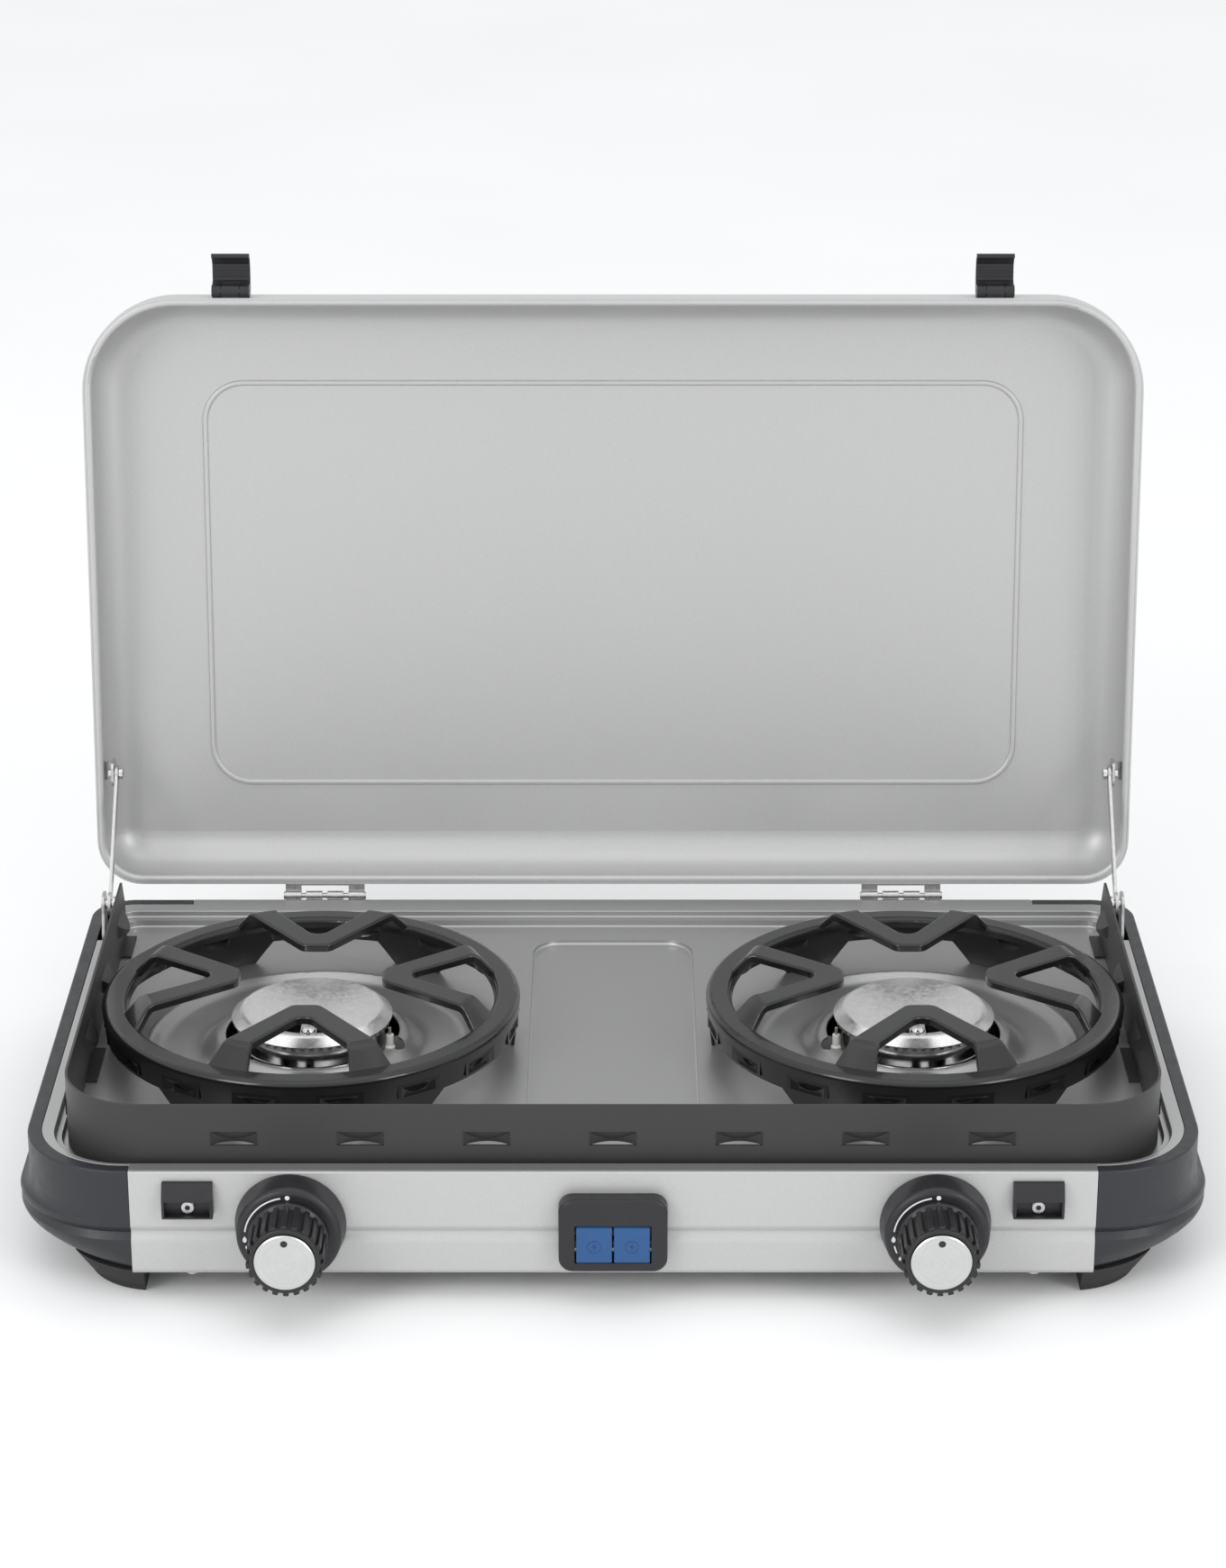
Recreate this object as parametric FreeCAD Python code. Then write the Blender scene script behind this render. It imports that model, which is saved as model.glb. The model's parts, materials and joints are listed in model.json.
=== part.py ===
import FreeCAD, Part
import os
from math import atan2, cos, degrees, hypot, pi, radians, sin, tan

# Two-burner camping stove with a hinged lid, modelled standing with its lid open.
# Everything is drawn in the hob's frame, in millimetres: x to the right, t back from the
# hob's front and z up from the top of its rim.  save() moves each shape to the part's frame.

# ---- driving dimensions -------------------------------------------------------------------
STAND = 68.0                # rim height above the surface the feet rest on
FRONT, REAR = -47.0, 275.0  # front and rear faces of the base
CAP_X, PANEL_X = 281.0, 227.7
CORNER_F, CORNER_R = 50.0, 22.0
BASE_DEPTH = 55.0           # rim to the bottom edge of the panels
GROOVE_Z = -33.0            # V groove that runs round the base
COVE_TOP = -21.5            # where the end caps start to flare out to the bumper
SHEET = 1.2
DECK_Z = -7.0
BURNER_X, BURNER_T = 152.0, 112.0

LID_X, LID_FRONT, LID_REAR = 280.0, -47.5, 272.5
LID_DEPTH, LID_SHEET = 33.0, 1.0
HINGE_T, HINGE_Z = 279.0, 0.5
LID_OPEN = 96.9             # degrees from closed to the stop
HINGE_X, HINGE_W = 157.0, 43.0

KNOB_Z = -27.5
BEZEL_PROUD = 13.5
INSERT_FACE = 39.0          # knob insert's face in front of the panel

CATCH_X, CATCH_W = 200.0, 24.0
CATCH_EDGE, CATCH_LOW = -12.2, -22.3    # front edge that the hook grips, and bottom
STUD_ROW = -17.6
LATCH_X, LATCH_W = 200.5, 19.7
LATCH_T, LATCH_Z = -51.0, 2.0       # latch pivot with the lid closed
HOOK_R = 17.2

STAY_X, STAY_THICK = 268.0, 1.5
STAY_S, STAY_P = 61.0, 5.0          # pivot: up the lid from its rear edge, and into its depth
STUD_T, STUD_Z, STUD_R = 238.0, 13.3, 2.5

GAP = 0.3                   # between pieces that move past each other
RUN = 0.04                  # radial clearance of a running fit
ENDS = (("left", -1), ("right", 1))

# The open lid's rounded top is the deepest point, and the knob's face the nearest.
LID_FILLET = 20.0           # inside radius between the lid's wall and ceiling
CREST_R = LID_FILLET + LID_SHEET
LID_BACK = HINGE_T + CREST_R - (HINGE_T - LID_FRONT - CREST_R) * cos(radians(LID_OPEN)) \
    + (LID_DEPTH + LID_SHEET - CREST_R) * sin(radians(LID_OPEN))
MID_T = (LID_BACK + FRONT - INSERT_FACE) / 2

V = FreeCAD.Vector
AXIS_X, AXIS_T, AXIS_Z = V(1, 0, 0), V(0, 1, 0), V(0, 0, 1)
HINGE = V(0, HINGE_T, HINGE_Z)


# ---- shape helpers ------------------------------------------------------------------------
def box(x0, x1, t0, t1, z0, z1):
    return Part.makeBox(x1 - x0, t1 - t0, z1 - z0, V(x0, t0, z0))


def rod(centre, radius, length, axis):
    return Part.makeCylinder(radius, length, centre, axis)


def moved(shape, x=0.0, t=0.0, z=0.0):
    return shape.translated(V(x, t, z))


def turned(shape, centre, axis, angle):
    copy = shape.copy()
    copy.rotate(centre, axis, angle)
    return copy


def mirrored(shape):
    return shape.mirror(V(0, 0, 0), AXIS_X)


def both_sides(shape):
    return Part.makeCompound([shape, mirrored(shape)])


def fuse(shapes):
    return shapes[0].multiFuse(shapes[1:]).removeSplitter()


def rounded(points, radii, place, closed):
    """Edges along the corner points, with a tangent arc of its own radius at each corner."""
    count = len(points)
    stops = []
    for i, (a, b) in enumerate(points):
        if not closed and i in (0, count - 1):
            stops.append([(a, b)])
            continue
        (pa, pb), (na, nb) = points[i - 1], points[(i + 1) % count]
        back, ahead = hypot(pa - a, pb - b), hypot(na - a, nb - b)
        ua, ub = (pa - a) / back, (pb - b) / back
        va, vb = (na - a) / ahead, (nb - b) / ahead
        turn = pi - abs(atan2(ua * vb - ub * va, ua * va + ub * vb))
        if turn < 0.01 or radii[i] < 0.02:
            stops.append([(a, b)])
            continue
        reach = min(radii[i] * tan(turn / 2), 0.49 * back, 0.49 * ahead)
        radius = reach / tan(turn / 2)
        half = hypot(ua + va, ub + vb)
        inset = radius * (1 / cos(turn / 2) - 1)
        middle = (a + (ua + va) / half * inset, b + (ub + vb) / half * inset)
        stops.append([(a + ua * reach, b + ub * reach), middle, (a + va * reach, b + vb * reach)])
    edges = [Part.Arc(*[place(*p) for p in s]).toShape() for s in stops if len(s) == 3]
    pairs = list(zip(stops, stops[1:] + stops[:1]))
    for first, second in pairs if closed else pairs[:-1]:
        edges.append(Part.LineSegment(place(*first[-1]), place(*second[0])).toShape())
    return edges


def face(points, radii, place):
    """Flat face inside the corner points; radii is one radius or a list of them."""
    if not isinstance(radii, list):
        radii = [radii] * len(points)
    edges = rounded(points, radii, place, True)
    return Part.Face(Part.Wire(Part.__sortEdges__(edges)))


def ribbon(points, radius, thickness, place):
    """Cross-section of a bent sheet: the points give its right-hand face, with radius there."""
    normals = []
    for (a, b), (c, d) in zip(points, points[1:]):
        size = hypot(c - a, d - b)
        normals.append(((b - d) / size, (c - a) / size))
    firsts, seconds = [normals[0]] + normals, normals + [normals[-1]]
    other, inner, outer = [], [0.0], [0.0]
    for (a, b), (na, nb), (ma, mb) in zip(points, firsts, seconds):
        grow = thickness / (1 + na * ma + nb * mb)
        other.append((a + (na + ma) * grow, b + (nb + mb) * grow))
    for (na, nb), (ma, mb) in zip(normals, normals[1:]):
        left_turn = na * mb - nb * ma > 0
        inner.append(radius + thickness if left_turn else radius)
        outer.append(radius if left_turn else radius + thickness)
    near = rounded(points, inner + [0.0], place, False)
    far = rounded(other, outer + [0.0], place, False)
    ends = [Part.LineSegment(place(*points[i]), place(*other[i])).toShape() for i in (0, -1)]
    return Part.Face(Part.Wire(Part.__sortEdges__(near + far + ends)))


def along_x(x0, x1, section):
    """Extrude a face drawn in the (t, z) plane at x = 0 from x0 to x1."""
    return moved(section.extrude(V(x1 - x0, 0, 0)), x=x0)


def in_tz(t, z):
    return V(0, t, z)


def in_xt(x, t):
    return V(x, t, 0)


def in_rz(r, z):
    return V(r, 0, z)


def spun(section, x=0.0, t=0.0):
    """Turn a face drawn in (radius, z) round a vertical axis."""
    return moved(section.revolve(V(0, 0, 0), AXIS_Z, 360), x, t)


def lathe(points, radii, centre):
    """Turned piece on an axis pointing forward; points are (radius, distance forward)."""
    section = face(points, radii, lambda r, u: V(r, -u, 0))
    return section.revolve(V(0, 0, 0), AXIS_T, 360).translated(centre)


def outline(x, front, rear, r_front, r_rear, z=0.0):
    corners = [(-x, front), (x, front), (x, rear), (-x, rear)]
    radii = [r_front, r_front, r_rear, r_rear]
    return Part.Wire(Part.__sortEdges__(rounded(corners, radii, lambda a, b: V(a, b, z), True)))


def grown(size, amount):
    x, front, rear, r_front, r_rear = size
    return x + amount, front - amount, rear + amount, r_front + amount, r_rear + amount


def slab(size, z0, z1):
    return Part.Face(outline(*size, z=z0)).extrude(V(0, 0, z1 - z0))


def soften(shape, radius, wanted):
    """Round the edges that wanted() picks, and keep the sharp shape where that can't be done."""
    edges = [e for e in shape.Edges if wanted(e.BoundBox)]
    try:
        result = shape.makeFillet(radius, edges)
        return result if result.isValid() and result.Volume > 0 else shape
    except Exception:
        print("left sharp:", len(edges), "edges at radius", radius)
        return shape


def level(z, slack=0.01):
    return lambda b: abs(b.ZMin - z) < slack and abs(b.ZMax - z) < slack


def save(node, shape):
    """Write one node in the part's frame: origin under the middle, standing on z = 0."""
    placed = shape.translated(V(0, -MID_T, STAND))
    placed.exportStep(os.path.join("parts", node + ".step"))
    b = placed.optimalBoundingBox(True, False)
    print("%-22s solids %2d valid %s  x %.1f..%.1f y %.1f..%.1f z %.1f..%.1f" % (
        node, len(placed.Solids), placed.isValid(), b.XMin, b.XMax, b.YMin, b.YMax, b.ZMin, b.ZMax))
    EXTENT.append(b)


EXTENT = []


# ---- base: hob, panels and end caps -------------------------------------------------------
BAND = 6.5                          # width of the end caps' rim
TRAY = (CAP_X - BAND - 0.2, FRONT + BAND, REAR - BAND, CORNER_F - BAND, CORNER_R - BAND)
UPPER_STEP = (267.5, -38.2, 259.0, 37.0, 12.0)
LOWER_STEP = (264.6, -36.9, 254.0, 38.0, 12.0)
LEDGE_Z = -3.4
RECESS = (42.5, -10.0, 236.0, 16.0, 16.0)
RECESS_Z = DECK_Z - 2.5
NOTCH_X, NOTCH_T = 266.8, (220.0, 262.0)    # gaps in the rim for the lid's stays
DISH_R = 84.5                       # outside of the pressing round each burner
BORE_R = 44.0                       # hole under each burner
ELECTRODE_DX, ELECTRODE_DT = 39.8, -14.0
SHAFT_HOLE = 14.0
WINDOW_W, WINDOW_TOP, WINDOW_LOW = 36.3, -24.7, -44.4
INLET_X, PIPE_Z = 60.0, -48.0
FOOT_X = 223.0                      # inner end of each rubber foot


def burner_pressing():
    """Dished ring round one burner: a step, a valley and a raised collar."""
    top = [(DISH_R, DECK_Z), (82.6, DECK_Z + 0.7), (80.4, DECK_Z - 0.5), (78.0, DECK_Z - 2.2),
           (70.0, DECK_Z - 3.6),
           (62.0, DECK_Z - 4.0), (55.0, DECK_Z - 2.4), (49.0, DECK_Z + 3.6), (46.6, DECK_Z + 4.8),
           (BORE_R, DECK_Z + 5.0)]
    curve, below = Part.BSplineCurve(), Part.BSplineCurve()
    curve.interpolate([in_rz(r, z) for r, z in top])
    below.interpolate([in_rz(r, z - SHEET) for r, z in top])
    sides = [Part.LineSegment(in_rz(r, z), in_rz(r, z - SHEET)).toShape() for r, z in (top[0], top[-1])]
    edges = [curve.toShape(), below.toShape()] + sides
    return spun(Part.Face(Part.Wire(Part.__sortEdges__(edges))))


def hob_tray():
    rim = slab(TRAY, -SHEET, 0).fuse(box(-PANEL_X, PANEL_X, FRONT + 1.4, 0, -SHEET, 0))
    rim = rim.fuse(box(-PANEL_X, PANEL_X, 200, REAR - 1.4, -SHEET, 0))
    body = fuse([rim, slab(grown(UPPER_STEP, SHEET), LEDGE_Z - SHEET, -0.5),
                 slab(grown(LOWER_STEP, SHEET), DECK_Z - SHEET, LEDGE_Z),
                 slab(grown(RECESS, SHEET), RECESS_Z - SHEET, DECK_Z)])
    upper = soften(slab(UPPER_STEP, LEDGE_Z, 2), 1.0, level(LEDGE_Z))
    lower = soften(slab(LOWER_STEP, DECK_Z, LEDGE_Z + 1), 1.2, level(DECK_Z))
    recess = soften(slab(RECESS, RECESS_Z, DECK_Z + 1), 1.6, level(RECESS_Z))
    body = body.cut(Part.makeCompound([upper, lower, recess]))
    body = soften(body, 0.55, lambda b: level(0)(b) and b.YMin > FRONT + 8 and b.YMax < REAR - 12)
    for side in (-1, 1):
        disc = rod(V(side * BURNER_X, BURNER_T, -20), DISH_R, 19, AXIS_Z)
        pressing = moved(burner_pressing(), side * BURNER_X, BURNER_T)
        lobe = rod(V(side * (BURNER_X - ELECTRODE_DX), BURNER_T + ELECTRODE_DT, -25), 7.5, 30, AXIS_Z)
        near, far = sorted((side * NOTCH_X, side * CAP_X))
        notch = box(near, far, *NOTCH_T, -20, 1)
        body = body.cut(disc).fuse(pressing).cut(lobe).cut(notch)
    return body.removeSplitter()


def front_panel():
    groove = 3.9
    points = [(FRONT, -0.3), (FRONT, GROOVE_Z + groove), (FRONT + 2.2, GROOVE_Z),
              (FRONT, GROOVE_Z - groove), (FRONT, -BASE_DEPTH), (FRONT + 10, -BASE_DEPTH)]
    sheet = along_x(-PANEL_X, PANEL_X, ribbon(points, 2.4, SHEET, in_tz))
    sheet = soften(sheet, 0.8, lambda b: level(-0.3)(b) and b.XLength > 300 and b.YMax < FRONT + 0.5)
    for side in (-1, 1):
        sheet = sheet.cut(rod(V(side * BURNER_X, FRONT - 5, KNOB_Z), SHAFT_HOLE, 20, AXIS_T))
    half = WINDOW_W / 2 + 1.5
    return sheet.cut(box(-half, half, FRONT - 5, FRONT + 8, WINDOW_LOW - 1.5, WINDOW_TOP + 1.5))


def rear_panel():
    points = [(REAR - 68, -50), (REAR, -50), (REAR, GROOVE_Z - 2.5), (REAR - 2, GROOVE_Z),
              (REAR, GROOVE_Z + 2.5), (REAR, -0.3)]
    sheet = along_x(-PANEL_X, PANEL_X, ribbon(points, 1.2, SHEET, in_tz))
    return sheet.cut(rod(V(INLET_X, REAR - 20, PIPE_Z), 5.0, 30, AXIS_T)).cut(
        box(INLET_X - 5, INLET_X + 5, REAR - 80, REAR - 0.5, -52, PIPE_Z))


def cap_body(inset):
    """Solid of both end caps and the space between them, shrunk by inset."""
    wall = (CAP_X, FRONT, REAR, CORNER_F, CORNER_R)
    cove = ((CAP_X, FRONT, REAR, CORNER_F, CORNER_R, COVE_TOP),
            (CAP_X + 0.5, FRONT, REAR, CORNER_F, CORNER_R, COVE_TOP - 2.6),
            (CAP_X + 2.2, FRONT, REAR, CORNER_F + 2, CORNER_R + 1, COVE_TOP - 4.6),
            (CAP_X + 4.8, FRONT, REAR, CORNER_F + 4, CORNER_R + 3, COVE_TOP - 6.2))
    tip = (CAP_X + 5.6, FRONT, REAR, CORNER_F + 5, CORNER_R + 4, GROOVE_Z + 3.4)
    groove = (CAP_X + 5.5, FRONT + 2.2, REAR - 2, CORNER_F + 5, CORNER_R + 4, GROOVE_Z)
    hull = ((CAP_X + 5.3, FRONT, REAR, CORNER_F + 5, CORNER_R + 4, GROOVE_Z - 3.4),
            (CAP_X + 4.2, FRONT, REAR, CORNER_F + 6, CORNER_R + 5, GROOVE_Z - 7),
            (CAP_X + 0.8, FRONT + 0.3, REAR - 0.3, CORNER_F + 9, CORNER_R + 7, GROOVE_Z - 12),
            (CAP_X - 5.0, FRONT + 1.0, REAR - 1, CORNER_F + 13, CORNER_R + 9, GROOVE_Z - 17.5),
            (CAP_X - 12.0, FRONT + 2.2, REAR - 2, CORNER_F + 18, CORNER_R + 12, -BASE_DEPTH))

    def loft(levels, straight):
        return Part.makeLoft([outline(*grown(c[:5], -inset), z=c[5]) for c in levels], True, straight)
    top = slab(grown(wall, -inset), COVE_TOP, 0)
    return top.fuse([loft(cove, False), loft((cove[-1], tip), True), loft((tip, groove), True),
                     loft((groove, hull[0]), True), loft(hull, False)])


def end_cap():
    """Right-hand moulded end: a shell with a rim band, a bumper and a pad over each foot."""
    outer = soften(cap_body(0), 1.0, level(0))
    hollow = cap_body(2.4).common(box(-400, 400, -400, 600, -BASE_DEPTH - 5, -2.4))
    mouth = slab(grown(TRAY, 0.2), -5, 1)
    cap = outer.cut(hollow).cut(mouth).common(box(PANEL_X + GAP, 400, -200, 500, -200, 50))
    inside = cap_body(1.0)
    for t0, t1 in ((FRONT, 6), (REAR - 44, REAR)):
        pad = box(PANEL_X + GAP, 262, t0, t1, -BASE_DEPTH, -BASE_DEPTH + 2.4).common(inside)
        cap = cap.fuse(pad)
    return cap.removeSplitter()


def rubber_feet():
    top = (266.0, FRONT + 3, REAR - 3, 50.0, 32.0)
    low = (256.0, FRONT + 6.5, REAR - 7, 38.0, 28.0)
    tread = (254.0, FRONT + 8, REAR - 8.5, 36.0, 26.0)
    block = Part.makeLoft([outline(*top, z=-BASE_DEPTH), outline(*low, z=-STAND + 4)], True, True)
    block = block.fuse(Part.makeLoft([outline(*tread, z=-STAND + 4),
                                      outline(*grown(tread, -0.8), z=-STAND)], True, True))
    feet = [block.common(box(FOOT_X, 258, t0, t1, -80, 0)) for t0, t1 in
            ((FRONT, -2), (REAR - 38, REAR))]
    return both_sides(Part.makeCompound(feet))


def underside_brace():
    points = [(FRONT + 2, -53.2), (-24, -53.2), (-14, -48.4), (REAR - 6, -48.4)]
    strip = along_x(-11, 11, ribbon(points, 2.0, SHEET, in_tz))
    rib = soften(box(-3, 3, 0, REAR - 30, -47.2, -45.4), 1.2, lambda b: level(-45.4)(b))
    return both_sides(moved(strip.fuse(rib), x=200.0))


# ---- windshield ---------------------------------------------------------------------------
SHIELD = (262.0, -35.5, 330.0, 40.0, 2.0)
SHIELD_TOP, SHIELD_END = 29.0, 239.0
LOUVRE_W, LOUVRE_LOW, LOUVRE_TOP, LOUVRE_DEEP = 24.6, 7.8, 16.2, 6.0


def louvre(width, low, top, deep, sheet):
    """Hood pressed back (+t) from a sheet whose front face is t = 0, and the window it leaves."""
    half = width / 2
    radius = (half ** 2 + deep ** 2) / (2 * deep)

    def bulge(back):
        wedge = face([(-sheet, low), (deep + back, low), (deep + back, low + 1.5),
                      (back + 0.3, top), (-sheet, top)], 0.0, in_tz)
        lens = rod(V(0, deep + back - radius, low), radius, top - low, AXIS_Z)
        return along_x(-half, half, wedge).common(lens)

    shell = bulge(0.0).cut(moved(bulge(-sheet), z=-0.01)).cut(box(-half, half, -99, 0.2, low - 1, top))
    window = box(-half + 0.8, half - 0.8, -5, sheet + 0.3, low, top - 0.6)
    return shell, window


def windshield():
    band = slab(SHIELD, DECK_Z, SHIELD_TOP).cut(slab(grown(SHIELD, -SHEET), DECK_Z - 1, 40))
    band = band.common(box(-400, 400, -200, SHIELD_END, -50, 50))
    slope = face([(190.0, 60), (SHIELD_END - 9, SHIELD_TOP), (SHIELD_END + 5, 4), (300, 4), (300, 60)],
                 0.0, in_tz)
    band = band.cut(along_x(-300, 300, slope))
    hood, window = louvre(LOUVRE_W, LOUVRE_LOW, LOUVRE_TOP, LOUVRE_DEEP, SHEET)
    hoods, windows = [], []
    places = [(59.5 * i, SHIELD[1], 0) for i in range(-3, 4)]
    places += [(side * SHIELD[0], t, side * 90) for side in (-1, 1) for t in (9.0, 78.0, 147.0, 216.0)]
    for x, t, angle in places:
        hoods.append(moved(turned(hood, V(0, 0, 0), AXIS_Z, angle), x, t))
        windows.append(moved(turned(window, V(0, 0, 0), AXIS_Z, angle), x, t))
    for side in (-1, 1):
        for t0, t1 in ((62, 100), (212, SHIELD_END)):
            x0, x1 = sorted((side * (SHIELD[0] - 0.6), side * (SHIELD[0] - 6.5)))
            hoods.append(box(x0, x1, t0, t1, DECK_Z, DECK_Z + SHEET))
    return band.cut(Part.makeCompound(windows)).multiFuse(hoods).removeSplitter()


# ---- pan supports -------------------------------------------------------------------------
RING_OUT, RING_IN, RING_TOP, RING_SHEET = 105.5, 93.0, 19.5, 1.6
FINGER_TOP, FINGER_THICK = 29.5, 4.0
SKIRT_LOW = 3.5


def sector(start, stop, z):
    reach = 130
    corners = [V(0, 0, z)] + [V(reach * cos(radians(a)), reach * sin(radians(a)), z) for a in (start, stop)]
    return Part.makePolygon(corners + corners[:1])


def finger():
    """One pan rest, pointing from the ring towards the middle; drawn along +t."""
    plan = face([(-50, 94), (-46.5, 84.5), (-38.4, 78.3), (-7, 36), (7, 36), (38.4, 78.3), (46.5, 84.5),
                 (50, 94), (25.5, 98), (23.2, 80), (0, 46.5), (-23.2, 80), (-25.5, 98)],
                [2, 6, 9, 6, 6, 9, 6, 2, 2, 7, 6, 7, 2], in_xt)
    prism = moved(plan.extrude(V(0, 0, 60)), z=-10)
    bottom = FINGER_TOP - FINGER_THICK
    points = [(30, bottom), (84.5, bottom), (92.5, RING_TOP - 3)]
    sheet = spun(ribbon(points, 3.0, FINGER_THICK, in_rz))
    return soften(sheet.common(prism), 1.3, lambda b: level(FINGER_TOP)(b))


def pan_support():
    section = ribbon([(RING_OUT - 1.8, SKIRT_LOW), (RING_OUT, RING_TOP), (RING_IN, RING_TOP),
                      (RING_IN - 1.2, RING_TOP - 5)], 1.4, RING_SHEET, in_rz)
    ring = spun(section)
    legs = spun(ribbon([(RING_OUT - 3.2, DECK_Z), (RING_OUT - 1.8, SKIRT_LOW + 0.5)], 0, RING_SHEET, in_rz))
    wide = [(base + side * 29 - 13.5, base + side * 29 + 13.5, 7.5) for base in (90, 270)
            for side in (-1, 1)]
    narrow = [(base - 5, base + 5, 4.0) for base in (0, 180)]
    wedges = [Part.makeLoft([sector(a, b, SKIRT_LOW + 0.5),
                             sector((a + b) / 2 - w, (a + b) / 2 + w, DECK_Z)], True, True)
              for a, b, w in wide + narrow]
    parts = [ring, legs.common(Part.makeCompound(wedges))]
    hood, window = louvre(24.0, 5.0, 13.0, 4.4, RING_SHEET)
    windows = []
    for i in range(16):
        angle = 22.5 * (i + 0.5)
        for shapes, shape in ((parts, hood), (windows, window)):
            shapes.append(turned(moved(shape, t=-RING_OUT + 1.2), V(0, 0, 0), AXIS_Z, angle))
    parts[0] = ring.cut(Part.makeCompound(windows))
    parts += [turned(finger(), V(0, 0, 0), AXIS_Z, angle) for angle in (0, 90, 180, 270)]
    return fuse(parts)


# ---- burners and gas parts ----------------------------------------------------------------
CUP_R, CAP_R, CAP_TOP = 37.0, 40.5, 11.4
NECK_R = 11.0
STRAP_W, SCREW_DT = 8.0, -26.8
TOOTH_COUNT = 54
RING_SEAT = 4.4             # top of the cup, where the flame ring sits
BELL_T = -6.0               # open end of the mixing tube, in front of the burner
VALVE_BACK, VALVE_TOP, VALVE_LOW = -17.0, -14.0, -40.0
SPINDLE_R = 3.0


def burner_cup():
    wall = 1.5
    points = [(NECK_R, -19.3), (NECK_R, -15), (CUP_R - 2, -8), (CUP_R, -6), (CUP_R, RING_SEAT)]
    return spun(ribbon(points, 1.5, wall, in_rz))


def flame_ring():
    inner, collar, outer = 29.0, 34.4, CAP_R - 1.1
    low, step, top = RING_SEAT + 0.05, CAP_TOP - 5.0, CAP_TOP - 1.3
    ring = spun(face([(inner, low), (outer, low), (outer, step), (collar, step), (collar, top),
                      (inner, top)], 0.0, in_rz))
    slot = box(CUP_R - 1.6, outer + 1, -1.15, 1.15, low - 1, step + 1)
    slots = [turned(slot, V(0, 0, 0), AXIS_Z, 360 * i / TOOTH_COUNT) for i in range(TOOTH_COUNT)]
    strap_gap = box(-STRAP_W / 2 - 0.2, STRAP_W / 2 + 0.2, -collar - 1, -inner + 1, top - 1.5, top + 1)
    return ring.cut(Part.makeCompound(slots)).cut(strap_gap)


def burner_cap():
    plate = 1.2
    points = [(CAP_R, CAP_TOP - 4.0), (CAP_R - 5, CAP_TOP), (0, CAP_TOP)]
    lid = spun(ribbon(points, 2.0, plate, in_rz))
    reach = 18.5
    window = rod(V(0, 0, 0), 34.0, 20, AXIS_Z).cut(rod(V(0, 0, -1), 14.0, 22, AXIS_Z))
    window = window.common(box(-reach, reach, -50, 0, 0, 20))
    return lid.cut(window)


def burner_strap():
    top = CAP_TOP - 1.35
    strap = box(-STRAP_W / 2, STRAP_W / 2, -35, -9, top - 1.2, top)
    return strap.cut(rod(V(0, SCREW_DT, 0), 1.6, 20, AXIS_Z))


def burner_screw():
    seat = CAP_TOP - 1.3
    head = spun(face([(0, seat), (3.6, seat), (3.4, seat + 1.2), (2.2, seat + 2.4), (0, seat + 2.7)],
                     [0, 0, 0.8, 0.8, 0], in_rz))
    shank = rod(V(0, 0, seat - 11), 1.5, 11, AXIS_Z)
    return moved(head.fuse(shank), t=SCREW_DT)


def electrode(side):
    """Ceramic body and metal pin of one spark electrode beside its burner."""
    x, t = side * (BURNER_X - ELECTRODE_DX), BURNER_T + ELECTRODE_DT
    profile = [(0, -14), (2.0, -14), (2.0, -9), (2.6, -9), (2.6, -4), (1.9, -3), (1.9, 2.5), (0, 2.5)]
    ceramic = moved(spun(face(profile, 0.0, in_rz)).cut(rod(V(0, 0, -20), 0.85, 40, AXIS_Z)), x, t)
    pin = rod(V(x, t, -16), 0.8, 22.3, AXIS_Z)
    return ceramic, pin


def mixing_tube():
    """Venturi from the jet to the burner's neck, hollow all the way."""
    def solid(grow, ends):
        neck = NECK_R - 2.6 + grow
        run = rod(V(0, BELL_T + 7, KNOB_Z), 6.5 + grow, BURNER_T - BELL_T - 7, AXIS_T)
        bell = Part.makeCone(9.0 + grow, 6.5 + grow, 14 + ends, V(0, BELL_T - ends, KNOB_Z), AXIS_T)
        riser = rod(V(0, BURNER_T, KNOB_Z - 9), neck, -19.5 - KNOB_Z + 9 + ends, AXIS_Z)
        return fuse([run, bell, riser, rod(V(0, BURNER_T, KNOB_Z - 9 - grow), neck, 2, AXIS_Z)])
    return solid(1.5, 0.0).cut(solid(0.0, 1.0))


def valve_body():
    front, half = FRONT + SHEET + 0.4, 9.0
    block = soften(box(-half, half, -38, VALVE_BACK, VALVE_LOW, VALVE_TOP), 2.0,
                   lambda b: b.YLength > 15)
    boss = rod(V(0, front, KNOB_Z), 7.5, 10, AXIS_T)
    flange = rod(V(0, front, KNOB_Z), 12.0, 1.8, AXIS_T)
    bore = rod(V(0, front - 1, KNOB_Z), SPINDLE_R + RUN, 22, AXIS_T)
    outlet = rod(V(0, VALVE_BACK - 6, KNOB_Z), 1.6, 8, AXIS_T)
    return fuse([block, boss, flange]).cut(bore).cut(outlet)


def gas_jet():
    hexagon = [(4.0 * cos(radians(60 * i)), KNOB_Z + 4.0 * sin(radians(60 * i))) for i in range(6)]
    nut = face(hexagon, 0.0, lambda x, z: V(x, VALVE_BACK, z)).extrude(V(0, 5, 0))
    nose = Part.makeCone(3.0, 1.8, 4, V(0, VALVE_BACK + 5, KNOB_Z), AXIS_T)
    return nut.fuse(nose).cut(rod(V(0, VALVE_BACK - 1, KNOB_Z), 0.4, 20, AXIS_T))


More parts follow.
